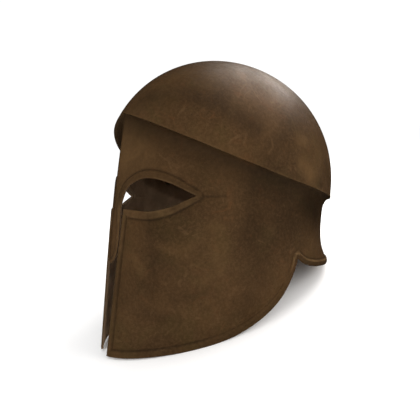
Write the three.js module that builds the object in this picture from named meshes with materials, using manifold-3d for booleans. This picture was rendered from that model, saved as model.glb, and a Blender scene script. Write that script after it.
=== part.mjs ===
// A Corinthian helmet: skull, cheek pieces, nose guard and neck guard beaten from one sheet of bronze.
//
// It is drawn as it is worn, facing -Y with +Z up, and then leant back until it stands by itself on
// the lower edges of its cheek pieces and on the rim of its neck guard. All sizes are in millimetres.

import * as THREE from 'three';
import { mergeVertices } from 'three/addons/utils/BufferGeometryUtils.js';
import Module from 'manifold-3d';

const wasm = await Module();
wasm.setup();

// Driving dimensions
const SHEET = 2.0;
const BRONZE = { color: 0x4d3d27, roughness: 0.55, metalness: 0.6 };

// The skull is part of an ellipsoid, pitched up at the front.
// It fills out towards the back, and below its widest line it hangs straight down and flares a little.
const SKULL = { halfWidth: 98.4, halfLength: 131.2, halfHeight: 120.7, pitch: 0.116, y: 8.7, z: 19.6 };
const SKULL_FULLNESS = 0.1;
const SKULL_FLARE = 1.2;

// The ridge round the skull's lower border: its height at each bearing, in degrees from the front.
const RIDGE = [
  { at: 0, z: 72.5 },
  { at: 12, z: 66.1 },
  { at: 26, z: 57.2 },
  { at: 45, z: 43.0 },
  { at: 64, z: 29.0 },
  { at: 90, z: 14.1 },
  { at: 130, z: 2.6 },
  { at: 180, z: -0.8 },
];
const RIDGE_FILLET = 13;

// Level sections of the face and neck below the ridge: front centre without its keel, half width, back
// centre, how blunt the plan is in front (2 is an ellipse, less comes to a prow), and the keel that runs
// down the brow and the nose guard: how far it stands out and how far it spreads to each side.
const SECTIONS = [
  { at: -150, front: -126.4, half: 79.0, back: 148.0, blunt: 1.62, keel: 0, spread: 9 },
  { at: -105, front: -122.9, half: 85.5, back: 148.0, blunt: 1.74, keel: 0, spread: 9 },
  { at: -68, front: -120.0, half: 89.9, back: 146.5, blunt: 1.84, keel: 0, spread: 9 },
  { at: -60, front: -119.2, half: 90.6, back: 138.8, blunt: 1.88, keel: 0, spread: 9 },
  { at: -48, front: -118.1, half: 91.5, back: 128.7, blunt: 1.92, keel: 1.1, spread: 9 },
  { at: -32, front: -116.7, half: 92.5, back: 123.5, blunt: 1.96, keel: 1.7, spread: 9 },
  { at: -14, front: -114.9, half: 93.0, back: 125.0, blunt: 2.0, keel: 1.9, spread: 13 },
  { at: 0, front: -112.9, half: 93.3, back: 128.0, blunt: 1.98, keel: 2.8, spread: 18 },
  { at: 15, front: -111.2, half: 93.5, back: 131.0, blunt: 1.94, keel: 3.3, spread: 21 },
  { at: 44, front: -108.0, half: 93.0, back: 133.0, blunt: 1.9, keel: 3.2, spread: 22 },
  { at: 75, front: -104.3, half: 92.0, back: 133.0, blunt: 1.9, keel: 3.0, spread: 22 },
];
const BLUNT_BACK = 2;
const KEEL_POWER = 1.5;
const WIDEST_Y = 8.7;

// Standing by itself, the helmet leans back by this angle on a plane that meets the worn height
// REST_HEIGHT at y = 0. The back of the neck guard's rim lies in that plane.
const REST_LEAN = THREE.MathUtils.degToRad(14.5);
const REST_HEIGHT = -106.84;
const restPlane = (y) => REST_HEIGHT + y * Math.tan(REST_LEAN);

// Side outline (y, z) of the lower edge: the cheek piece from its front corner to the notch, and the
// neck guard from the notch to the back.
const CHEEK_EDGE = [
  [-130, -138.6],
  [-117, -135.6],
  [-98, -131.3],
  [-77, -126.6],
  [-54, -120.6],
  [-35.4, -113.7],
  [-14.5, -101.6],
  [1, -88.5],
  [10.5, -75.4],
  [17, -61.3],
  [19, -54.1],
];
const NECK_EDGE = [
  [19, -54.1],
  [31, -60.4],
  [49, -64.9],
  [70, -67.6],
  [95, -69.8],
  [125, -70.1],
  [145.4, restPlane(145.4)],
  [160, -67.5],
];

// Front outline (x, z) of the right half of the face opening.
const EYE_UPPER = [
  [9.6, -16],
  [10.4, -6.5],
  [15.4, 5.2],
  [25.5, 11.5],
  [37.2, 13.5],
  [52, 9.5],
  [67.3, -0.1],
];
const EYE_LOWER = [
  [67.3, -0.1],
  [54.2, -9.4],
  [41.2, -13.1],
  [28, -12.7],
  [14.6, -11.8],
];
const CHEEK_GAP = { bottom: 6.3, bottomZ: -145 };
const NOSE = { halfWidth: 11.2, shoulderZ: -39, tipLength: 20.5 };

// The blocks that cut the outlines reach well past the sheet.
const CUT = { width: 300, lowest: -200, faceDepth: 120, faceBack: -40 };

const COLUMNS = 52;
const WALL_ROWS = 14;
const FILLET_ROWS = 4;
const SKULL_ROWS = 10;
const EDGE_STEPS = 24;
const EYE_STEPS = 18;
const TIP_STEPS = 6;
const MERGE_DISTANCE = 1e-4;

// The value of a column of a table at a place between its rows, on a smooth curve through them.
function read(table, at, column) {
  let i = table.findIndex((row) => row.at >= at);
  i = i < 0 ? table.length - 1 : Math.max(i, 1);
  const slope = (k) => {
    const a = table[Math.max(k - 1, 0)];
    const b = table[Math.min(k + 1, table.length - 1)];
    return (b[column] - a[column]) / (b.at - a.at);
  };
  const low = table[i - 1];
  const high = table[i];
  const span = high.at - low.at;
  const f = (at - low.at) / span;
  const g = 1 - f;
  return g * g * (1 + 2 * f) * low[column] + f * f * (1 + 2 * g) * high[column]
    + f * g * span * (g * slope(i - 1) - f * slope(i));
}

// A point of the face and neck wall at a bearing (radians from the front, positive to +X) and height.
function wallPoint(bearing, z) {
  const side = Math.sin(bearing);
  const ahead = Math.cos(bearing);
  const inFront = ahead > 0;
  const power = 2 / (inFront ? read(SECTIONS, z, 'blunt') : BLUNT_BACK);
  const reach = read(SECTIONS, z, inFront ? 'front' : 'back') - WIDEST_Y;
  const x = read(SECTIONS, z, 'half') * Math.sign(side) * Math.abs(side) ** power;
  const nearness = inFront ? Math.max(0, 1 - Math.abs(x) / read(SECTIONS, z, 'spread')) : 0;
  const keel = read(SECTIONS, z, 'keel') * nearness ** KEEL_POWER;
  return new THREE.Vector3(x, WIDEST_Y + reach * Math.abs(ahead) ** power - keel, z);
}

// The ridge is the same on both sides, so it is read at the bearing's distance from the front.
function ridgeHeight(bearing) {
  const turned = Math.abs(Math.atan2(Math.sin(bearing), Math.cos(bearing)));
  return read(RIDGE, THREE.MathUtils.radToDeg(turned), 'z');
}

// A point of the skull, from the ridge (rise 0) to the crown (rise 1).
function skullPoint(bearing, rise) {
  const lift = SKULL.halfLength * Math.cos(bearing) * Math.sin(SKULL.pitch);
  const height = SKULL.halfHeight * Math.cos(SKULL.pitch);
  const level = (ridgeHeight(bearing) - SKULL.z) / Math.hypot(lift, height);
  const ridge = Math.asin(level) - Math.atan2(lift, height);
  const elevation = ridge + (Math.PI / 2 - ridge) * rise;
  const power = 2 / (2 + SKULL_FULLNESS * ((1 - Math.cos(bearing)) / 2) ** 2);
  const above = elevation > 0;
  const girth = above ? Math.cos(elevation) ** power : 1 + SKULL_FLARE * elevation ** 2;
  const stature = above ? Math.sin(elevation) ** power : Math.sin(elevation);
  const point = new THREE.Vector3(
    SKULL.halfWidth * girth * Math.sin(bearing),
    -SKULL.halfLength * girth * Math.cos(bearing),
    SKULL.halfHeight * stature,
  );
  point.applyAxisAngle(new THREE.Vector3(1, 0, 0), -SKULL.pitch);
  return point.add(new THREE.Vector3(0, SKULL.y, SKULL.z));
}

// One column of the outer skin from below the cheek pieces to just short of the crown: the wall, the
// fillet that curls out under the ridge, and the skull.
function column(bearing) {
  const bottom = SECTIONS[0].at;
  const ridge = skullPoint(bearing, 0);
  const overhang = ridge.clone().sub(wallPoint(bearing, ridge.z));
  const top = ridge.z - RIDGE_FILLET;
  const points = [];
  for (let i = 0; i < WALL_ROWS; i++) {
    points.push(wallPoint(bearing, bottom + (top - bottom) * i / WALL_ROWS));
  }
  for (let i = 0; i < FILLET_ROWS; i++) {
    const turn = Math.PI / 2 * i / FILLET_ROWS;
    const z = ridge.z - RIDGE_FILLET * (1 - Math.sin(turn));
    points.push(wallPoint(bearing, z).addScaledVector(overhang, 1 - Math.cos(turn)));
  }
  for (let i = 0; i < SKULL_ROWS; i++) {
    points.push(skullPoint(bearing, i / SKULL_ROWS));
  }
  return points;
}

// The closed outer form, from a level floor at the lowest section to the crown.
function outerForm() {
  const rows = WALL_ROWS + FILLET_ROWS + SKULL_ROWS;
  const points = [];
  for (let c = 0; c < COLUMNS; c++) {
    points.push(...column(2 * Math.PI * c / COLUMNS));
  }
  const floor = points.push(new THREE.Vector3(0, WIDEST_Y, SECTIONS[0].at)) - 1;
  const crown = points.push(skullPoint(0, 1)) - 1;
  const faces = [];
  for (let c = 0; c < COLUMNS; c++) {
    const near = c * rows;
    const next = (c + 1) % COLUMNS * rows;
    for (let r = 0; r < rows - 1; r++) {
      faces.push(near + r, next + r, next + r + 1, near + r, next + r + 1, near + r + 1);
    }
    faces.push(floor, next, near, crown, near + rows - 1, next + rows - 1);
  }
  const geometry = new THREE.BufferGeometry().setFromPoints(points);
  geometry.setIndex(faces);
  geometry.computeVertexNormals();
  return geometry;
}

// The hollow inside: the outer form moved in by the sheet's thickness, with its floor left open.
function innerForm(outer) {
  const inner = outer.clone();
  const place = inner.attributes.position;
  const normal = outer.attributes.normal;
  for (let i = 0; i < place.count; i++) {
    const onFloor = place.getZ(i) === SECTIONS[0].at;
    const point = new THREE.Vector3().fromBufferAttribute(place, i);
    const inward = new THREE.Vector3().fromBufferAttribute(normal, i);
    if (onFloor) {
      inward.setZ(0).normalize();
    }
    point.addScaledVector(inward, -SHEET);
    place.setXYZ(i, point.x, point.y, onFloor ? point.z - SHEET : point.z);
  }
  return inner;
}

// A manifold solid from a closed geometry, and a geometry from a manifold solid.
function toSolid(source) {
  const geometry = source.clone();
  geometry.deleteAttribute('normal');
  geometry.deleteAttribute('uv');
  const merged = mergeVertices(geometry, MERGE_DISTANCE);
  return new wasm.Manifold(new wasm.Mesh({
    numProp: 3,
    vertProperties: new Float32Array(merged.attributes.position.array),
    triVerts: new Uint32Array(merged.index.array),
  }));
}

function toGeometry(solid) {
  const mesh = solid.getMesh();
  const geometry = new THREE.BufferGeometry();
  geometry.setAttribute('position', new THREE.BufferAttribute(mesh.vertProperties, 3));
  geometry.setIndex(new THREE.BufferAttribute(mesh.triVerts, 1));
  return geometry;
}

const toVectors = (pairs) => pairs.map(([a, b]) => new THREE.Vector2(a, b));
const mirrored = (points) => points.map((p) => new THREE.Vector2(-p.x, p.y)).reverse();

// Everything below the side outline, as a block right across the helmet.
function belowTheEdge() {
  const shape = new THREE.Shape();
  shape.moveTo(CHEEK_EDGE[0][0], CUT.lowest);
  shape.lineTo(...CHEEK_EDGE[0]);
  shape.splineThru(toVectors(CHEEK_EDGE.slice(1)));
  shape.splineThru(toVectors(NECK_EDGE.slice(1)));
  shape.lineTo(NECK_EDGE.at(-1)[0], CUT.lowest);
  const block = new THREE.ExtrudeGeometry(shape, {
    depth: CUT.width,
    bevelEnabled: false,
    curveSegments: EDGE_STEPS,
  });
  // The drawing's x becomes the helmet's y, its y the helmet's z, and its depth runs along x.
  block.translate(0, 0, -CUT.width / 2);
  block.applyMatrix4(new THREE.Matrix4().makeBasis(
    new THREE.Vector3(0, 1, 0),
    new THREE.Vector3(0, 0, 1),
    new THREE.Vector3(1, 0, 0),
  ));
  return block;
}

// The face opening from the front: both eyes, the gap between the cheek pieces, and the nose guard
// left standing in it.
function faceOpening() {
  const upper = new THREE.SplineCurve(toVectors(EYE_UPPER)).getPoints(EYE_STEPS);
  const lower = new THREE.SplineCurve(toVectors(EYE_LOWER)).getPoints(EYE_STEPS);
  const tip = [];
  for (let i = 0; i <= TIP_STEPS; i++) {
    const turn = Math.PI / 2 * i / TIP_STEPS;
    const z = NOSE.shoulderZ - NOSE.tipLength * Math.cos(turn);
    tip.push(new THREE.Vector2(NOSE.halfWidth * Math.sin(turn), z));
  }
  const half = [...tip, ...upper, ...lower.slice(1), new THREE.Vector2(CHEEK_GAP.bottom, CHEEK_GAP.bottomZ)];
  const shape = new THREE.Shape([...half, ...mirrored(half.slice(1))]);
  const block = new THREE.ExtrudeGeometry(shape, { depth: CUT.faceDepth, bevelEnabled: false });
  // The drawing's y becomes the helmet's z, and its depth runs forward from behind the cheek pieces.
  block.rotateX(Math.PI / 2);
  block.translate(0, CUT.faceBack, 0);
  return block;
}

function helmetShell() {
  const outer = outerForm();
  const shell = toSolid(outer)
    .subtract(toSolid(innerForm(outer)))
    .subtract(toSolid(belowTheEdge()))
    .subtract(toSolid(faceOpening()));
  const geometry = toGeometry(shell);
  geometry.rotateX(-REST_LEAN);
  geometry.computeBoundingBox();
  const { min, max } = geometry.boundingBox;
  geometry.translate(0, -(min.y + max.y) / 2, -min.z);
  const mesh = new THREE.Mesh(geometry, new THREE.MeshStandardMaterial(BRONZE));
  mesh.name = 'helmet_shell';
  return mesh;
}

const helmet = new THREE.Group();
helmet.add(helmetShell());

export default helmet;
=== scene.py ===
"""A Corinthian helmet of beaten bronze, standing by itself on a pale studio floor."""

import math

import bmesh
import bpy
import numpy as np
from mathutils import Matrix, Vector
from mathutils.geometry import delaunay_2d_cdt
from mathutils.kdtree import KDTree


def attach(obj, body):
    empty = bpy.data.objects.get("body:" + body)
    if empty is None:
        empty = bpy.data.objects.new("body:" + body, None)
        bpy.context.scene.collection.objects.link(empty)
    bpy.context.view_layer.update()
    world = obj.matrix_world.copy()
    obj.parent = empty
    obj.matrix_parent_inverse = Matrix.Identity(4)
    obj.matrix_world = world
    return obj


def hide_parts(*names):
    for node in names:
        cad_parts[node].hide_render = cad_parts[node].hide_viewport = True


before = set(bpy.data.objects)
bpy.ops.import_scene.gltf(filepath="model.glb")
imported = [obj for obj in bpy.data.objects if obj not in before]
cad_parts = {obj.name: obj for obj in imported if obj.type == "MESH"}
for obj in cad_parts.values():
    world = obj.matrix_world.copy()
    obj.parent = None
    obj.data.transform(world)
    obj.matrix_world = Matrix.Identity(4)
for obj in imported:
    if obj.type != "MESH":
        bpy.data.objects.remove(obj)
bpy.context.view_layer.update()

# ---------------------------------------------------------------------------------------------
# The helmet shell: one sheet of bronze, beaten up into a domed skull whose lower border is turned
# out to a sharp ridge, with the face and neck worked in below. The borders of the eyes, the nose
# guard and the lower edges are pressed up from inside.
# ---------------------------------------------------------------------------------------------

# All sizes are in millimetres, as it is worn: x to the wearer's left, y to the back, z up.
SHEET = 2.0

# The skull: part of an ellipsoid pitched up in front, fuller behind, flaring a little at the ridge.
SKULL_HALF = {"width": 98.4, "length": 131.2, "height": 120.7}
SKULL_PITCH = 0.116
SKULL_CENTRE = np.array([0.0, 8.7, 19.6])
SKULL_FULLNESS = 0.1
SKULL_FLARE = 1.2

# The ridge round the skull: bearing in degrees from the front, height.
RIDGE = np.array([
    (0, 72.5), (12, 66.1), (26, 57.2), (45, 43.0),
    (64, 29.0), (90, 14.1), (130, 2.6), (180, -0.8),
])
RIDGE_FILLET = 13.0

# Level sections of the wall: height, front centre, half width, back centre, bluntness of the plan in
# front (2 is an ellipse), and how far the keel of the brow and nose stands out and spreads.
FRONT, HALF, BACK, BLUNT, KEEL, SPREAD = range(1, 7)
SECTIONS = np.array([
    (-150, -126.4, 79.0, 148.0, 1.62, 0.0, 9),
    (-105, -122.9, 85.5, 148.0, 1.74, 0.0, 9),
    (-68, -120.0, 89.9, 146.5, 1.84, 0.0, 9),
    (-60, -119.2, 90.6, 138.8, 1.88, 0.0, 9),
    (-48, -118.1, 91.5, 128.7, 1.92, 1.1, 9),
    (-32, -116.7, 92.5, 123.5, 1.96, 1.7, 9),
    (-14, -114.9, 93.0, 125.0, 2.0, 1.9, 13),
    (0, -112.9, 93.3, 128.0, 1.98, 2.8, 18),
    (15, -111.2, 93.5, 131.0, 1.94, 3.3, 21),
    (44, -108.0, 93.0, 133.0, 1.9, 3.2, 22),
    (75, -104.3, 92.0, 133.0, 1.9, 3.0, 22),
])
KEEL_POWER = 1.5
WIDEST_Y = 8.7

# The face opening from the front (x, z) and the lower edge from the side (y, z).
NOSE_TIP = [(0.0, -59.5), (4.3, -58.1), (8.1, -53.5), (10.5, -46.8), (11.2, -39.0)]
NOSE_SIDE = [(11.2, -39.0), (11.0, -30.0), (10.2, -21.5), (9.7, -15.0)]
EYE_UPPER = [
    (9.7, -15.0), (10.4, -6.5), (15.4, 5.2), (25.5, 11.5), (37.2, 13.5), (52.0, 9.5), (67.3, -0.1),
]
EYE_LOWER = [(67.3, -0.1), (54.2, -9.4), (41.2, -13.1), (28.0, -12.7), (14.6, -11.8)]
CHEEK_FRONT = [(14.6, -11.8), (7.0, -137.3)]
CHEEK_EDGE = [
    (-124.1, -137.3), (-117.0, -135.6), (-98.0, -131.3), (-77.0, -126.6), (-54.0, -120.6),
    (-35.4, -113.7), (-14.5, -101.6), (1.0, -88.5), (10.5, -75.4), (17.0, -61.3), (19.0, -54.1),
]
NECK_EDGE = [
    (19.0, -54.1), (31.0, -60.4), (49.0, -64.9), (70.0, -67.6), (95.0, -69.8), (125.0, -70.1),
    (146.72, -69.0),
]

# Standing, it leans back by this angle on its cheek pieces and neck guard.
REST_LEAN = math.radians(14.5)
REST_SHIFT = np.array([0.0, 5.23, 103.45])


def read(table, at, column):
    """A column of a table between its rows, on a smooth curve through them."""
    places, values = table[:, 0], table[:, column]
    last = len(places) - 1
    k = np.arange(last + 1)
    low, high = np.maximum(k - 1, 0), np.minimum(k + 1, last)
    slope = (values[high] - values[low]) / (places[high] - places[low])
    i = np.clip(np.searchsorted(places, at), 1, last)
    span = places[i] - places[i - 1]
    f = (at - places[i - 1]) / span
    g = 1 - f
    return (g * g * (1 + 2 * f) * values[i - 1] + f * f * (1 + 2 * g) * values[i]
            + f * g * span * (g * slope[i - 1] - f * slope[i]))


def wall_point(bearing, z):
    """Points of the face and neck wall at bearings from the front, in radians, and heights."""
    bearing, z = np.broadcast_arrays(np.asarray(bearing, float), np.asarray(z, float))
    side, ahead = np.sin(bearing), np.cos(bearing)
    in_front = ahead > 0
    power = 2 / np.where(in_front, read(SECTIONS, z, BLUNT), 2.0)
    reach = np.where(in_front, read(SECTIONS, z, FRONT), read(SECTIONS, z, BACK)) - WIDEST_Y
    x = read(SECTIONS, z, HALF) * np.sign(side) * np.abs(side) ** power
    nearness = np.where(in_front, np.maximum(0, 1 - np.abs(x) / read(SECTIONS, z, SPREAD)), 0)
    keel = read(SECTIONS, z, KEEL) * nearness ** KEEL_POWER
    return np.stack([x, WIDEST_Y + reach * np.abs(ahead) ** power - keel, z], axis=-1)


def skull_point(bearing, rise):
    """Points of the skull at bearings from the front, from the ridge (rise 0) to the crown (rise 1)."""
    bearing, rise = np.broadcast_arrays(np.asarray(bearing, float), np.asarray(rise, float))
    lift = SKULL_HALF["length"] * np.cos(bearing) * math.sin(SKULL_PITCH)
    height = SKULL_HALF["height"] * math.cos(SKULL_PITCH)
    level = (read(RIDGE, np.degrees(np.abs(bearing)), 1) - SKULL_CENTRE[2]) / np.hypot(lift, height)
    ridge = np.arcsin(level) - np.arctan2(lift, height)
    elevation = ridge + (math.pi / 2 - ridge) * rise
    power = 2 / (2 + SKULL_FULLNESS * ((1 - np.cos(bearing)) / 2) ** 2)
    up = np.maximum(elevation, 0)
    girth = np.where(elevation > 0, np.maximum(np.cos(up), 0) ** power, 1 + SKULL_FLARE * elevation ** 2)
    stature = np.where(elevation > 0, np.sin(up) ** power, np.sin(elevation))
    x = SKULL_HALF["width"] * girth * np.sin(bearing)
    y = -SKULL_HALF["length"] * girth * np.cos(bearing)
    z = SKULL_HALF["height"] * stature
    c, s = math.cos(SKULL_PITCH), math.sin(SKULL_PITCH)
    return np.stack([x, y * c + z * s, -y * s + z * c], axis=-1) + SKULL_CENTRE


# The cut edges: smooth curves through the points above, brought onto the wall at an even spacing.
EDGE_SPACING = 1.5
CURVE_POINTS = 900


def curve_through(points):
    """A smooth curve through a few points, as many points, closer together towards its end."""
    points = np.array(points, float)
    steps = np.hypot(*np.diff(points, axis=0).T)
    along = np.concatenate([[0], np.cumsum(steps)])
    fine = along[-1] * (1 - np.linspace(1, 0, CURVE_POINTS) ** 2)
    table = np.column_stack([along, points])
    return np.column_stack([read(table, fine, 1), read(table, fine, 2)])


def bearing_from_front(points):
    """Front-view points (x, z) as bearing and height on the wall."""
    x, z = points.T
    power = 2 / read(SECTIONS, z, BLUNT)
    return np.column_stack([np.arcsin(np.clip(x / read(SECTIONS, z, HALF), 0, 1) ** (1 / power)), z])


def bearing_from_side(points):
    """Side-view points (y, z) as bearing and height on the wall."""
    y, z = points.T
    in_front = y < WIDEST_Y
    power = 2 / np.where(in_front, read(SECTIONS, z, BLUNT), 2.0)
    reach = np.abs(np.where(in_front, read(SECTIONS, z, FRONT), read(SECTIONS, z, BACK)) - WIDEST_Y)
    ahead = np.clip(np.abs(y - WIDEST_Y) / reach, 0, 1) ** (1 / power)
    return np.column_stack([np.where(in_front, np.arccos(ahead), math.pi - np.arccos(ahead)), z])


def cut_edge(points, on_wall):
    """A cut edge as evenly spaced bearings and heights on the wall."""
    flat = on_wall(curve_through(points))
    steps = np.linalg.norm(np.diff(wall_point(flat[:, 0], flat[:, 1]), axis=0), axis=1)
    length = np.concatenate([[0], np.cumsum(steps)])
    even = np.linspace(0, length[-1], max(2, round(length[-1] / EDGE_SPACING) + 1))
    return np.column_stack([np.interp(even, length, flat[:, 0]), np.interp(even, length, flat[:, 1])])


# Each cut edge with the width of its raised border at its two ends, and how much wider than that it
# swells between them.
cuts = [
    (cut_edge(NOSE_TIP, bearing_from_front), 3.4, 3.8, 0.0),
    (cut_edge(NOSE_SIDE, bearing_from_front), 3.8, 4.6, 0.0),
    (cut_edge(EYE_UPPER, bearing_from_front), 4.6, 3.4, 2.6),
    (cut_edge(EYE_LOWER, bearing_from_front), 3.4, 6.0, 1.3),
    (cut_edge(CHEEK_FRONT, bearing_from_front), 4.4, 4.4, 0.0),
    (cut_edge(CHEEK_EDGE, bearing_from_side), 5.2, 6.2, 0.0),
    (cut_edge(NECK_EDGE, bearing_from_side), 6.2, 5.2, 0.0),
]
SWELL_POWER = 0.7


def border_widths(cut, first, last, swell):
    half_turn = np.linspace(0, math.pi, len(cut))
    return np.linspace(first, last, len(cut)) + swell * np.sin(half_turn) ** SWELL_POWER


outline = np.concatenate([cut[:-1] for cut, *_ in cuts] + [cuts[-1][0][-1:]])
border = np.concatenate([border_widths(*cut)[:-1] for cut in cuts] + [[cuts[-1][2]]])
outline[0, 0] = 0.0
outline[-1, 0] = math.pi

# The wall is laid out flat, bearing across and height up, filled with points and joined into
# triangles: rows that follow the cut edges, and an even field of points over the rest. FLAT turns a
# bearing into millimetres of the flat pattern.
COLUMNS = 120
FIELD = 3.0
FLAT = 110.0
ROWS = [0.45, 1.2, 2.2, 3.2, 4.2, 5.0, 5.7, 6.4, 7.1, 8.0, 9.4]
PAST_ROWS = 2.0
MIDDLE_POINTS = 2000

bearings = np.linspace(0, math.pi, COLUMNS + 1)
ridge_line = skull_point(bearings, 0.0)
top = ridge_line[:, 2] - RIDGE_FILLET


def up_the_middle(bearing, edge, end):
    """Heights up the middle from a cut edge: at the rows' distances from it, then evenly."""
    heights = np.linspace(edge, end, MIDDLE_POINTS)
    steps = np.linalg.norm(np.diff(wall_point(bearing, heights), axis=0), axis=1)
    length = np.concatenate([[0], np.cumsum(steps)])
    evenly = np.arange(ROWS[-1] + PAST_ROWS, length[-1] - FIELD / 2, FIELD)
    return np.interp(np.concatenate([ROWS, evenly]), length, heights)


back_line = up_the_middle(math.pi, outline[-1, 1], top[-1])
front_line = up_the_middle(0.0, outline[0, 1], top[0])[::-1]
loop = np.concatenate([
    outline,
    np.column_stack([np.full(len(back_line), math.pi), back_line]),
    np.column_stack([bearings, top])[::-1],
    np.column_stack([np.zeros(len(front_line)), front_line]),
])


def slopes(pattern):
    """How the wall runs along the flat pattern's two directions, per millimetre of the pattern."""
    h = 1e-3
    b, z = pattern.T
    across = (wall_point(b + h / FLAT, z) - wall_point(b - h / FLAT, z)) / (2 * h)
    up = (wall_point(b, z + h) - wall_point(b, z - h)) / (2 * h)
    return across, up


def outward(pattern):
    """The way the wall faces, at points of the flat pattern."""
    across, up = slopes(pattern)
    normal = np.cross(across, up)
    return normal / np.linalg.norm(normal, axis=1)[:, None]


def inside(pattern):
    """Which points of the flat pattern lie within the loop."""
    x, y = pattern[:, :1], pattern[:, 1:]
    ax, ay = loop.T
    bx, by = np.roll(loop, -1, axis=0).T
    spans = (ay > y) != (by > y)
    rise = np.where(by == ay, 1.0, by - ay)
    crosses = spans & (x < ax + (bx - ax) * (y - ay) / rise)
    return crosses.sum(axis=1) % 2 == 1


outline_3d = wall_point(outline[:, 0], outline[:, 1])
AT_ONCE = 2000


def edge_distance(points):
    """Distance from points of the wall to the nearest cut edge, and the border's width there."""
    a, b = outline_3d[:-1], outline_3d[1:]
    run = b - a
    length2 = (run ** 2).sum(axis=1)
    best = np.zeros(len(points))
    width = np.zeros(len(points))
    for start in range(0, len(points), AT_ONCE):
        p = points[start:start + AT_ONCE, None, :]
        t = np.clip(((p - a) * run).sum(axis=2) / length2, 0, 1)
        d = np.linalg.norm(p - (a + run * t[..., None]), axis=2)
        near = d.argmin(axis=1)
        row = np.arange(len(near))
        best[start:start + AT_ONCE] = d[row, near]
        width[start:start + AT_ONCE] = border[near] + (border[near + 1] - border[near]) * t[row, near]
    return best, width


# Rows beside the cut edges. Each keeps its distance square off the edge on the curved wall, so the
# step is worked out from how much the wall stretches the flat pattern there. Points are dropped near
# the middle, which has its own, and where another stretch of the edge is nearer than the row's own.
MIDDLE_GAP = 0.5
NEARER = 0.93
flat_outline = outline * (FLAT, 1.0)
along = np.gradient(flat_outline, axis=0)
turned = np.column_stack([-along[:, 1], along[:, 0]])
across, up = slopes(outline)
stretch_across = (across ** 2).sum(axis=1)
stretch_up = (up ** 2).sum(axis=1)
shear = (across * up).sum(axis=1)
step_across = stretch_up * turned[:, 0] - shear * turned[:, 1]
step_up = stretch_across * turned[:, 1] - shear * turned[:, 0]
step_length = np.sqrt(
    stretch_across * step_across ** 2 + 2 * shear * step_across * step_up + stretch_up * step_up ** 2
)
step = np.column_stack([step_across, step_up]) / step_length[:, None]
rows = np.concatenate([(flat_outline + step * distance) / (FLAT, 1.0) for distance in ROWS])
wanted = np.repeat(ROWS, len(outline))
off_middle = (rows[:, 0] > MIDDLE_GAP / FLAT) & (rows[:, 0] < math.pi - MIDDLE_GAP / FLAT)
kept = inside(rows) & off_middle
rows, wanted = rows[kept], wanted[kept]
true_distance = edge_distance(wall_point(rows[:, 0], rows[:, 1]))[0]
rows = rows[true_distance > wanted * NEARER]

# The even field over the rest of the wall, in staggered lines, kept clear of the rows.
LINE_HEIGHT = FIELD * 0.866
LEAST_GAP = FIELD * 0.62
LOOP_GAP = FIELD * 0.6
lines = []
for n, z in enumerate(np.arange(outline[:, 1].min(), top.max(), LINE_HEIGHT)):
    shift = FIELD / 2 * (n % 2)
    b = np.arange(FIELD + shift, math.pi * FLAT - LOOP_GAP, FIELD) / FLAT
    lines.append(np.column_stack([b, np.full(len(b), z)]))
field = np.concatenate(lines)
field = field[inside(field)]
field_3d = wall_point(field[:, 0], field[:, 1])
placed_rows = KDTree(len(rows))
for i, point in enumerate(wall_point(rows[:, 0], rows[:, 1])):
    placed_rows.insert(point, i)
placed_rows.balance()
gaps = np.array([placed_rows.find(point)[2] for point in field_3d])
clear = (gaps > LEAST_GAP) & (edge_distance(field_3d)[0] > FIELD)
below_top = field[:, 1] < np.interp(field[:, 0], bearings, top) - LOOP_GAP
field = field[clear & below_top]

# A fine crease runs back from the outer corner of the eye and dies away on the temple. It has rows
# of its own, close enough together to hold it.
CREASE = {"start": (70.2, -0.6), "length": 19.0, "depth": 0.7, "width": 0.9, "rise": 0.8, "fade": 0.6}
CREASE_ROWS = (0.0, -0.8, 0.8, -1.6, 1.6, -2.6, 2.6)
CREASE_SPACING = 1.6
CREASE_GAP = 2.0
crease_corner = wall_point(*bearing_from_front(np.array([CREASE["start"]]))[0])
crease_run = np.arange(CREASE_GAP, CREASE["length"] + CREASE_GAP, CREASE_SPACING)
crease_line = crease_corner[2] + CREASE["rise"] * crease_run / CREASE["length"]
crease_rows = bearing_from_side(np.concatenate([
    np.column_stack([crease_corner[1] + crease_run, crease_line + beside]) for beside in CREASE_ROWS
]))

# The points are joined into triangles. Of points in one square of the pattern this wide, one is kept.
CLOSE = 0.35
pattern = np.concatenate([crease_rows, rows, field])
cell = np.round(pattern * (FLAT, 1.0) / CLOSE).astype(int)
pattern = pattern[np.sort(np.unique(cell, axis=0, return_index=True)[1])]
pattern = np.concatenate([loop, pattern])
edges = [(i, (i + 1) % len(loop)) for i in range(len(loop))]
flat_points = [Vector(p) for p in pattern * (FLAT, 1.0)]
placed, _, triangles, *_ = delaunay_2d_cdt(flat_points, edges, [], 1, 1e-5)
wall = np.array([tuple(p) for p in placed]) / (FLAT, 1.0)


def ramp(value, start, end):
    """Straight from 0 at start to 1 at end, and level outside them."""
    return np.clip((value - start) / (end - start), 0, 1)


def bell(value, half_width, middle=0.0):
    return np.exp(-((value - middle) / half_width) ** 2)


# The borders stand up by BORDER_RISE, rounded over at the cut edge, with a shallow groove beside.
BORDER_RISE = 1.05
GROOVE = 0.3
ROUNDED = 0.45
wall_3d = wall_point(wall[:, 0], wall[:, 1])
edge_mm, border_mm = edge_distance(wall_3d)
past_border = edge_mm - border_mm
rim = ramp(past_border, 0.35, -0.75)
rim = rim * rim * (3 - 2 * rim)
groove = bell(past_border, 0.8, 1.0)
rounded = ramp(edge_mm, 1.3, 0) ** 2

TEMPLE_X = 50
behind_eye = ramp(wall_3d[:, 1], crease_corner[1], crease_corner[1] + CREASE["length"])
off_crease = np.abs(wall_3d[:, 2] - crease_corner[2] - CREASE["rise"] * behind_eye)
crease = bell(off_crease, CREASE["width"]) * (1 - behind_eye) ** CREASE["fade"]
crease[(wall_3d[:, 1] < crease_corner[1]) | (wall_3d[:, 0] < TEMPLE_X)] = 0

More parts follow.
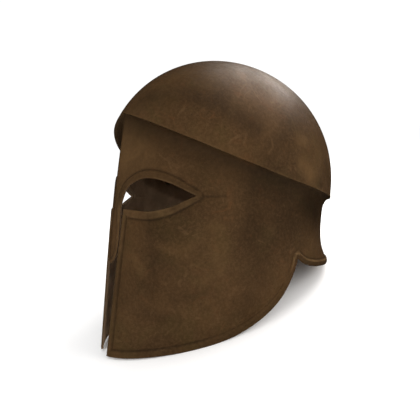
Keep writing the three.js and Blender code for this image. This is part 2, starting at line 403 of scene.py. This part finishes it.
relief = BORDER_RISE * rim - GROOVE * groove - ROUNDED * rounded - CREASE["depth"] * crease
wall_3d = wall_3d + outward(wall) * relief[:, None]
wall_3d[wall[:, 0] < 1e-9, 0] = 0
wall_3d[wall[:, 0] > math.pi - 1e-9, 0] = 0

# Above the wall: the fillet that curls out under the ridge, the ridge and the skull.
FILLET_TURNS = np.radians([0, 14, 28, 41, 53, 64, 73, 81, 86])
RISES = np.concatenate([[0.0, 0.004, 0.012, 0.026], np.linspace(0.045, 0.985, 44)])
overhang = ridge_line - wall_point(bearings, ridge_line[:, 2])
upper = []
for turn in FILLET_TURNS:
    z = ridge_line[:, 2] - RIDGE_FILLET * (1 - math.sin(turn))
    upper.append(wall_point(bearings, z) + overhang * (1 - math.cos(turn)))
for rise in RISES:
    upper.append(skull_point(bearings, rise))
upper = np.array(upper)
crown = skull_point(0.0, 1.0)

# Marks read by the bronze's colour: bare wear on ridge and borders, with a painted highlight on the
# neck guard's crest, dirt and painted shade in the hollows beside the borders, the ridge's long
# shadow painted below it, which reaches further down behind, and a painted shadow in the skull's
# inside, which ends at a soft line on the wall.
SHADOW_REACH = 24
SHADOW_MORE_BEHIND = 34
SHADOW_FALL = 1.6
INNER_SHADOW_FULL = 16.6
INNER_SHADOW_END = 19.0
SKULL_ARC = 150


def below_ridge(bearing, z):
    """How far points lie below the ridge."""
    return np.interp(bearing, bearings, ridge_line[:, 2]) - z


def shadow(bearing, depth):
    """The ridge's shadow at points that lie below it by a depth."""
    behind = (1 - np.cos(bearing)) / 2
    reach = SHADOW_REACH + SHADOW_MORE_BEHIND * behind ** 2
    return np.exp(-SHADOW_FALL * np.maximum(depth / reach, 0) ** 2)


# Stretches of the borders that differ. The neck guard's has a painted highlight along its crest and
# painted shade below it, the one under the eye is lighter all over, and the jaw's and the upper
# eye's are dull.
_, back, height = wall_3d.T
on_neck = ramp(back, 8, 16)
under_eye = ramp(height, -50, -25) * ramp(height, -3, -7)
over_eye = ramp(height, -12, -4)
jaw = ramp(back, -72, -42) * (1 - on_neck) * (height < -45)
crest = bell(past_border, 0.8, -0.7)
wall_depth = below_ridge(wall[:, 0], wall[:, 1])
wall_marks = {
    "worn": (0.5 * bell(edge_mm, 1.2) * (1 - on_neck) + (0.12 + 1.4 * on_neck) * crest
             + 0.4 * under_eye * rim),
    "dirt_and_shade": np.maximum.reduce([
        bell(past_border, 0.9, 0.6) * (1 - 0.5 * jaw), crease,
        0.7 * on_neck * (rim - crest), 0.4 * jaw * rim, 0.35 * over_eye * rim,
    ]),
    "shade": shadow(wall[:, 0], wall_depth),
    "inner_shadow": ramp(wall_depth, INNER_SHADOW_END, INNER_SHADOW_FULL),
}
heights = upper[:, :, 2]
under = np.arange(len(upper)) < len(FILLET_TURNS)
from_ridge = np.concatenate([(1 - np.sin(FILLET_TURNS)) * RIDGE_FILLET, RISES * SKULL_ARC])
upper_marks = {
    "worn": 0.35 * np.repeat(bell(from_ridge, 0.9)[:, None], COLUMNS + 1, axis=1),
    "dirt_and_shade": np.zeros_like(heights),
    "shade": np.where(under[:, None], shadow(bearings, below_ridge(bearings, heights)), 0),
    "inner_shadow": np.ones_like(heights),
}
MARKS = ["worn", "dirt_and_shade", "shade", "inner_shadow"]
CROWN_MARKS = (0, 0, 0, 1)

# One half of the outer face is put together, closed along the middle and mirrored.
ON_MIDDLE = 0.05
bm = bmesh.new()
layers = [bm.verts.layers.float.new(name) for name in MARKS]
inner = bm.verts.layers.float.new("inner")


def add_point(place, marks):
    vert = bm.verts.new(Vector(place))
    for layer, mark in zip(layers, marks):
        vert[layer] = mark
    return vert


wall_table = np.column_stack([wall_marks[name] for name in MARKS])
wall_verts = [add_point(place, marks) for place, marks in zip(wall_3d, wall_table)]
for face in triangles:
    bm.faces.new([wall_verts[i] for i in face])
upper_table = np.stack([upper_marks[name] for name in MARKS], axis=-1)
grid = [[add_point(p, m) for p, m in zip(*row)] for row in zip(upper, upper_table)]
for lower_row, upper_row in zip(grid, grid[1:]):
    for i in range(COLUMNS):
        bm.faces.new((lower_row[i], lower_row[i + 1], upper_row[i + 1], upper_row[i]))
peak = add_point(crown, CROWN_MARKS)
for i in range(COLUMNS):
    bm.faces.new((grid[-1][i], grid[-1][i + 1], peak))
bmesh.ops.remove_doubles(bm, verts=bm.verts, dist=0.03)
for vert in bm.verts:
    if abs(vert.co.x) < ON_MIDDLE:
        vert.co.x = 0
bmesh.ops.mirror(bm, geom=bm.verts[:] + bm.edges[:] + bm.faces[:], axis="X", merge_dist=0.01)
bmesh.ops.remove_doubles(bm, verts=bm.verts, dist=0.02)
bmesh.ops.recalc_face_normals(bm, faces=bm.faces)
if max(bm.faces, key=lambda face: face.calc_center_median().z).normal.z < 0:
    bmesh.ops.reverse_faces(bm, faces=bm.faces)

# Stains of long handling, with some painted shade and painted light among them, each along a line:
# points, half width, and how much lighter (above 0) or darker (below 0) than the bronze round it.
STAINS_AND_PAINTED_LIGHT = [
    ([(24, -100, 82), (42, -91, 80), (67, -65, 77), (80, -54, 66), (88, -36, 56)], 10, -0.34),
    ([(88, -34, 54), (93, -22, 36)], 14, -0.20),
    ([(74, -72, 50), (82, -58, 42)], 13, 0.12),
    ([(4, -110, 54), (8, -110, 30), (26, -106, 36)], 16, 0.85),
    ([(6, -106, 88), (24, -98, 104)], 15, 0.28),
    ([(78, -55, 8), (80, -52, -6)], 11, 0.16),
    ([(70, -72, -34), (62, -84, -44), (48, -98, -40)], 4, 0.30),
    ([(30, -110, -52), (40, -105, -66)], 5, 0.30),
    ([(72, -66, -76), (58, -86, -84)], 5, -0.26),
    ([(76, -58, -60), (70, -70, -70)], 4, 0.26),
    ([(40, -104, -96), (56, -86, -100)], 6, -0.22),
    # Painted shade on the temple and upper cheek, under the ridge.
    ([(93, -16, 12), (92, -22, -26), (94, 2, -20)], 20, -0.30),
    ([(88, -34, 4), (87, -36, -34)], 7, -0.12),
    ([(76, -62, -26), (76, -60, -50)], 11, 0.26),
    ([(90, -22, -62), (82, -34, -92)], 14, -0.24),
    # Painted shadow on the top of the neck guard, under the ridge.
    ([(93, 30, -6), (90, 46, -14)], 12, -0.50),
    ([(88, 42, -42), (84, 62, -46)], 12, 0.26),
    ([(46, -98, -28), (44, -100, -60)], 19, -0.30),
    ([(60, -88, -13), (68, -77, -9)], 9, -0.20),
    # Painted light low on the back of the dome, lit from behind.
    ([(96, 36, 44), (98, 38, 18)], 16, 0.20),
    ([(95, 12, 50), (97, 20, 52)], 6, 0.55),
    ([(98, 12, 30), (98, 24, 22)], 7, 0.60),
    ([(97, 0, 62), (95, -8, 50)], 7, -0.20),
    # Painted highlight down the back of the dome, below the lamp's shine.
    ([(84, 48, 82), (92, 44, 56), (95, 40, 40)], 15, 0.18),
]

# More are scattered over both sides. They are faint on the left of the face and skull, which has its
# own above.
SCATTERED = 90
HELMET_MIDDLE = (0, 9, -10)
HELMET_REACH = (92, 125, 110)
LEFT_FAINT = 0.35
LEFT_ENDS = 40
stain_rng = np.random.default_rng(41)
for _ in range(SCATTERED):
    way = stain_rng.normal(size=3)
    centre = HELMET_MIDDLE + way / np.linalg.norm(way) * HELMET_REACH
    reach = stain_rng.normal(size=3) * stain_rng.uniform(3, 16)
    on_left = centre[0] > 0 and centre[1] < LEFT_ENDS
    strength = stain_rng.uniform(-0.34, 0.26) * (LEFT_FAINT if on_left else 1.0)
    STAINS_AND_PAINTED_LIGHT.append(([centre - reach, centre + reach], stain_rng.uniform(5, 20), strength))


def line_distance(points, line):
    """Distance from points to the nearest stretch of a line."""
    line = np.array(line, float)
    stretches = []
    for a, b in zip(line, line[1:]):
        run = b - a
        t = np.clip((points - a) @ run / (run @ run), 0, 1)
        stretches.append(np.linalg.norm(points - a - t[:, None] * run, axis=1))
    return np.minimum.reduce(stretches)


# The stains, painted shade and painted light, summed into one mark on the points.
stain_and_light_layer = bm.verts.layers.float.new("stain_and_painted_light")
spots = np.array([tuple(vert.co) for vert in bm.verts])
stain_and_painted_light = np.zeros(len(spots))
for line, half_width, strength in STAINS_AND_PAINTED_LIGHT:
    stain_and_painted_light += strength * bell(line_distance(spots, line), half_width)
for vert, value in zip(bm.verts, stain_and_painted_light):
    vert[stain_and_light_layer] = value

# The sheet's thickness, inwards from the outer face.
bm.normal_update()
outer = set(bm.verts)
bmesh.ops.solidify(bm, geom=bm.faces[:], thickness=SHEET)
for vert in bm.verts:
    if vert not in outer:
        vert[inner] = 1.0

# The cut edges and the ridge are broken with a fine round. Faces that meet at more than SHARP
# radians make such an edge.
SHARP = 0.9
EDGE_ROUND = 0.4
bm.normal_update()
sharp = [edge for edge in bm.edges if edge.is_manifold and edge.calc_face_angle() > SHARP]
bmesh.ops.bevel(
    bm, geom=sharp, offset=EDGE_ROUND, segments=2, profile=0.5, affect="EDGES", material=-1,
    clamp_overlap=True,
)

# It is leant back, set on the floor and turned to metres.
lean = Matrix.Rotation(-REST_LEAN, 4, "X")
rest = Matrix.Scale(0.001, 4) @ Matrix.Translation(REST_SHIFT) @ lean
bmesh.ops.transform(bm, matrix=rest, verts=bm.verts)
bmesh.ops.recalc_face_normals(bm, faces=bm.faces)
for face in bm.faces:
    face.smooth = True
mesh = bpy.data.meshes.new("helmet_shell_bronze")
bm.to_mesh(mesh)
bm.free()
helmet = bpy.data.objects.new("helmet_shell_bronze", mesh)
bpy.context.collection.objects.link(helmet)

# The bronze: a dull brown patina, mottled, stained and scratched, over metal that shows where it is
# rubbed, with painted shade, painted shadow and painted highlights in its colour. Its patterns are
# read in metres, from the helmet's own place.
bronze = bpy.data.materials.new("patinated_bronze")
bronze.use_nodes = True
tree = bronze.node_tree
tree.nodes.clear()
place = tree.nodes.new("ShaderNodeTexCoord").outputs["Object"]


def attribute(name):
    node = tree.nodes.new("ShaderNodeAttribute")
    node.attribute_name = name
    return node.outputs["Fac"]


def noise(scale, detail, roughness, distortion=0.0, vector=place):
    node = tree.nodes.new("ShaderNodeTexNoise")
    node.inputs["Scale"].default_value = scale
    node.inputs["Detail"].default_value = detail
    node.inputs["Roughness"].default_value = roughness
    node.inputs["Distortion"].default_value = distortion
    tree.links.new(vector, node.inputs["Vector"])
    return node.outputs["Fac"]


def spread(value, low, high, to_low=0.0, to_high=1.0):
    """A value between low and high, eased over to a new range."""
    node = tree.nodes.new("ShaderNodeMapRange")
    node.interpolation_type = "SMOOTHSTEP"
    for name, number in (("From Min", low), ("From Max", high), ("To Min", to_low), ("To Max", to_high)):
        node.inputs[name].default_value = number
    tree.links.new(value, node.inputs["Value"])
    return node.outputs["Result"]


def maths(operation, a, b=None):
    node = tree.nodes.new("ShaderNodeMath")
    node.operation = operation
    for socket, value in zip(node.inputs, (a, b)):
        if isinstance(value, (int, float)):
            socket.default_value = value
        elif value is not None:
            tree.links.new(value, socket)
    return node.outputs["Value"]


def blend(factor, first, second):
    """The first colour where factor is 0, the second where it is 1."""
    node = tree.nodes.new("ShaderNodeMix")
    node.data_type = "RGBA"
    node.clamp_factor = True
    for socket, value in ((node.inputs[0], factor), (node.inputs[6], first), (node.inputs[7], second)):
        if isinstance(value, tuple):
            socket.default_value = (*value, 1)
        else:
            tree.links.new(value, socket)
    return node.outputs[2]


def turned_and_stretched(turns, stretch):
    """Places turned by three angles and stretched along the axes, for long hairlines."""
    node = tree.nodes.new("ShaderNodeMapping")
    node.inputs["Rotation"].default_value = turns
    node.inputs["Scale"].default_value = stretch
    tree.links.new(place, node.inputs["Vector"])
    return node.outputs["Vector"]


def vector_maths(operation, a, b=None):
    node = tree.nodes.new("ShaderNodeVectorMath")
    node.operation = operation
    second = node.inputs["Scale"] if operation == "SCALE" else node.inputs[1]
    for socket, value in ((node.inputs[0], a), (second, b)):
        if isinstance(value, Vector):
            socket.default_value = value
        elif value is not None:
            tree.links.new(value, socket)
    return node.outputs["Value" if operation in ("DOT_PRODUCT", "LENGTH") else "Vector"]


DULL = (0.0490, 0.0255, 0.0092)
BROWN = (0.0730, 0.0375, 0.0135)
OLIVE = (0.0590, 0.0350, 0.0112)
RUSTY = (0.1060, 0.0430, 0.0150)
PALE = (0.1500, 0.0820, 0.0360)
WARM = (0.1200, 0.0640, 0.0240)
SOOT_AND_SHADE = (0.0110, 0.0062, 0.0027)
WEAR_AND_HIGHLIGHT = (0.1600, 0.0950, 0.0400)
LIT_INSIDE = (0.4200, 0.2850, 0.1800)
SHADED_INSIDE = (0.2400, 0.1520, 0.0900)

# The mottle, from broad to fine: the noise (scale, detail, roughness, distortion), between which of
# its values the tone comes in, how strong it is at each, and the tone.
MOTTLE = [
    ((24, 4, 0.6, 0.8), (0.46, 0.66), (0.0, 0.7), OLIVE),
    ((52, 6, 0.72, 1.4), (0.54, 0.70), (0.0, 0.40), RUSTY),
    ((30, 7, 0.72, 2.4), (0.585, 0.65), (0.0, 0.26), PALE),
    ((95, 5, 0.7, 0.5), (0.32, 0.60), (0.45, 0.0), DULL),
]
colour = blend(spread(noise(15, 3, 0.5, 0.4), 0.36, 0.64), DULL, BROWN)
for texture, between, strengths, tone in MOTTLE:
    colour = blend(spread(noise(*texture), *between, *strengths), colour, tone)


def along_line(points, half_width):
    """How near a spot is to a thin line through points of the worn helmet, from 0 to 1."""
    nearest = None
    for a, b in zip(points, points[1:]):
        a, b = rest @ Vector(a), rest @ Vector(b)
        run = b - a
        spot = vector_maths("SUBTRACT", place, a)
        t = maths("DIVIDE", vector_maths("DOT_PRODUCT", spot, run), run.length_squared)
        t.node.use_clamp = True
        gap = vector_maths("SUBTRACT", spot, vector_maths("SCALE", run, t))
        length = vector_maths("LENGTH", gap)
        nearest = length if nearest is None else maths("MINIMUM", nearest, length)
    return spread(nearest, 0.0, half_width / 1000, 1.0, 0.0)


# Old scratches with a clean edge: points, half width, how pale.
OLD_SCRATCHES = [
    ([(93, -21, 46), (95, -21, 40), (94, -25, 35)], 1.9, 0.32),
    ([(77, -43, 80), (74, -38, 88), (71, -29, 96), (74, -27, 93), (79, -26, 85), (83, -23, 79)], 0.9, 0.26),
    ([(79, -39, 78), (77, -37, 83), (76, -30, 89)], 0.8, 0.22),
    ([(71, -69, -46), (80, -53, -38)], 0.7, 0.12),
    ([(12, -110, 23), (9, -112, 20), (13, -111, 16)], 0.8, 0.16),
    ([(-70, -62, 60), (-82, -41, 48), (-88, -24, 50)], 0.9, 0.22),
    ([(-52, 60, 96), (-70, 40, 80)], 0.9, 0.20),
    ([(40, 118, 40), (58, 104, 20), (60, 100, 8)], 1.0, 0.22),
]
for points, half_width, strength in OLD_SCRATCHES:
    colour = blend(maths("MULTIPLY", along_line(points, half_width), strength), colour, PALE)

# Fine scratches: thin curling lines, and long hairlines across them, each where a slow noise lets
# them show.
FINE_STRENGTH = 0.20
curl = maths("ABSOLUTE", maths("SUBTRACT", noise(46, 2, 0.45, 0.9), 0.52))
curl_where = spread(noise(17, 2, 0.5), 0.54, 0.70)
curls = maths("MULTIPLY", spread(curl, 0.0, 0.009, 1.0, 0.0), curl_where)
long_places = turned_and_stretched((0.5, 0.3, 0.8), (14, 3, 22))
hair = maths("ABSOLUTE", maths("SUBTRACT", noise(6, 1, 0.4, 0.2, long_places), 0.5))
hair_where = spread(noise(23, 2, 0.5), 0.52, 0.66)
hairlines = maths("MULTIPLY", spread(hair, 0.0, 0.008, 1.0, 0.0), hair_where)
colour = blend(maths("MULTIPLY", maths("MAXIMUM", curls, hairlines), FINE_STRENGTH), colour, PALE)

# Pale grain and dark pits.
colour = blend(spread(noise(400, 4, 0.75), 0.38, 0.68, 0.0, 0.22), colour, PALE)
colour = blend(spread(noise(280, 3, 0.6), 0.66, 0.74, 0.0, 0.35), colour, SOOT_AND_SHADE)

# The stains, painted shade and painted light lighten towards a warm tone, or darken by as much as
# they say, with broken edges.
STAIN_AND_LIGHT_WARMTH = 0.8
broken_edges = spread(noise(38, 5, 0.65, 1.0), 0.30, 0.70, 0.6, 1.4)
stain_and_light_amount = maths("MULTIPLY", attribute("stain_and_painted_light"), broken_edges)
colour = blend(maths("MULTIPLY", stain_and_light_amount, STAIN_AND_LIGHT_WARMTH), colour, WARM)
colour = vector_maths("SCALE", colour, maths("EXPONENT", maths("MINIMUM", stain_and_light_amount, 0.0)))

# The painted shadow under the ridge, the dirt and painted shade in the hollows, and the rubbed metal
# with a painted highlight along the neck guard's crest.
SHADE_STRENGTH = 0.60
DIRT_AND_SHADE_STRENGTH = 0.50
colour = blend(maths("MULTIPLY", attribute("shade"), SHADE_STRENGTH), colour, SOOT_AND_SHADE)
colour = blend(maths("MULTIPLY", attribute("dirt_and_shade"), DIRT_AND_SHADE_STRENGTH), colour, SOOT_AND_SHADE)
patchy = spread(noise(70, 5, 0.7), 0.35, 0.65, 0.15, 0.6)
colour = blend(maths("MULTIPLY", attribute("worn"), patchy), colour, WEAR_AND_HIGHLIGHT)

# The inside is painted light, paler than the bronze outside, with a painted shadow under the skull.
inside_light_and_shade = blend(attribute("inner_shadow"), LIT_INSIDE, SHADED_INSIDE)
inside_light_and_shade = blend(spread(noise(60, 5, 0.6), 0.35, 0.65, 0.0, 0.3), inside_light_and_shade, DULL)
colour = blend(attribute("inner"), colour, inside_light_and_shade)

# The patina hides most of the metal, so it shines softly. Its face is a little uneven from the
# hammer, finely pitted, and cut by the curling scratches.
PIT_DEPTH = 0.25
SCRATCH_DEPTH = 0.08
patina_sheen = spread(noise(45, 5, 0.6), 0.3, 0.7, 0.44, 0.55)
fine_sheen = spread(noise(500, 3, 0.6), 0.3, 0.7, -0.05, 0.05)
dents = maths("ADD", noise(55, 2, 0.5), maths("MULTIPLY", noise(230, 4, 0.6), PIT_DEPTH))
dents = maths("SUBTRACT", dents, maths("MULTIPLY", curls, SCRATCH_DEPTH))
grain = tree.nodes.new("ShaderNodeBump")
grain.inputs["Strength"].default_value = 0.4
grain.inputs["Distance"].default_value = 0.0006
tree.links.new(dents, grain.inputs["Height"])
shader = tree.nodes.new("ShaderNodeBsdfPrincipled")
shader.inputs["Metallic"].default_value = 0.3
shader.inputs["Specular IOR Level"].default_value = 0.12
tree.links.new(colour, shader.inputs["Base Color"])
tree.links.new(maths("ADD", patina_sheen, fine_sheen), shader.inputs["Roughness"])
tree.links.new(grain.outputs["Normal"], shader.inputs["Normal"])
output = tree.nodes.new("ShaderNodeOutputMaterial")
tree.links.new(shader.outputs["BSDF"], output.inputs["Surface"])
mesh.materials.append(bronze)
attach(helmet, "root")
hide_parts("helmet_shell")

# ---------------------------------------------------------------------------------------------
# The studio: a white paper floor that fades into white surroundings. Neither is mirrored in the
# bronze, so only the lamp behind shines in it. All below is in metres, as the helmet stands.
# ---------------------------------------------------------------------------------------------

floor_mesh = bpy.data.meshes.new("studio_floor")
bm = bmesh.new()
bmesh.ops.create_circle(bm, cap_ends=True, radius=6.0, segments=96)
bm.to_mesh(floor_mesh)
bm.free()
floor = bpy.data.objects.new("studio_floor", floor_mesh)
bpy.context.collection.objects.link(floor)
paper = bpy.data.materials.new("white_paper")
paper.use_nodes = True
paper_shader = paper.node_tree.nodes["Principled BSDF"]
paper_shader.inputs["Base Color"].default_value = (0.95, 0.95, 0.95, 1)
paper_shader.inputs["Roughness"].default_value = 0.9
paper_shader.inputs["Specular IOR Level"].default_value = 0.0
floor_mesh.materials.append(paper)
floor.visible_glossy = False

world = bpy.data.worlds.new("studio")
bpy.context.scene.world = world
world.use_nodes = True
sky = world.node_tree.nodes["Background"]
sky.inputs["Color"].default_value = (1, 1, 1, 1)
sky.inputs["Strength"].default_value = 1.06
world.cycles_visibility.glossy = False

bpy.context.scene.view_settings.view_transform = "Standard"

LAMP_TONE = (1.0, 0.96, 0.92)
LAMPS_AIM = Vector((0, 0, 0.12))
LAMPS = [
    {"name": "back_light", "at": (0.03, 1.04, 1.16), "size": 1.0, "watts": 16.5, "shine": True},
    {"name": "side_fill", "at": (1.00, 0.75, 0.60), "size": 0.7, "watts": 9.5, "shine": False},
    {"name": "front_fill", "at": (0.45, -1.25, 0.45), "size": 0.7, "watts": 5, "shine": False},
]
for lamp in LAMPS:
    data = bpy.data.lights.new(lamp["name"], "AREA")
    data.energy = lamp["watts"]
    data.size = lamp["size"]
    data.color = LAMP_TONE
    light = bpy.data.objects.new(lamp["name"], data)
    bpy.context.collection.objects.link(light)
    light.location = lamp["at"]
    light.visible_glossy = lamp["shine"]
    light.rotation_euler = (LAMPS_AIM - light.location).to_track_quat("-Z", "Y").to_euler()

# The camera stands to the wearer's front left, level with the eyes of the worn helmet. Its place and
# the ways that its right side and its foot point are given on the worn helmet, in millimetres, and
# it leans back with it.
CAMERA_PLACE = Vector((261.25, -203.247, -4.425))
CAMERA_RIGHT = Vector((0.58752, 0.80897, 0.01980))
CAMERA_DOWN = Vector((0.03369, 0.0, -0.99943))
VIEW_ANGLE = math.radians(70)
camera_data = bpy.data.cameras.new("camera")
camera_data.sensor_width = 36
camera_data.lens = camera_data.sensor_width / 2 / math.tan(VIEW_ANGLE / 2)
camera = bpy.data.objects.new("camera", camera_data)
bpy.context.collection.objects.link(camera)
right = (lean.to_3x3() @ CAMERA_RIGHT).normalized()
up_way = -(lean.to_3x3() @ CAMERA_DOWN).normalized()
back_way = right.cross(up_way).normalized()
up_way = back_way.cross(right)
turn = Matrix((right, up_way, back_way)).transposed().to_4x4()
camera.matrix_world = Matrix.Translation(rest @ CAMERA_PLACE) @ turn
bpy.context.scene.camera = camera

bpy.context.view_layer.update()
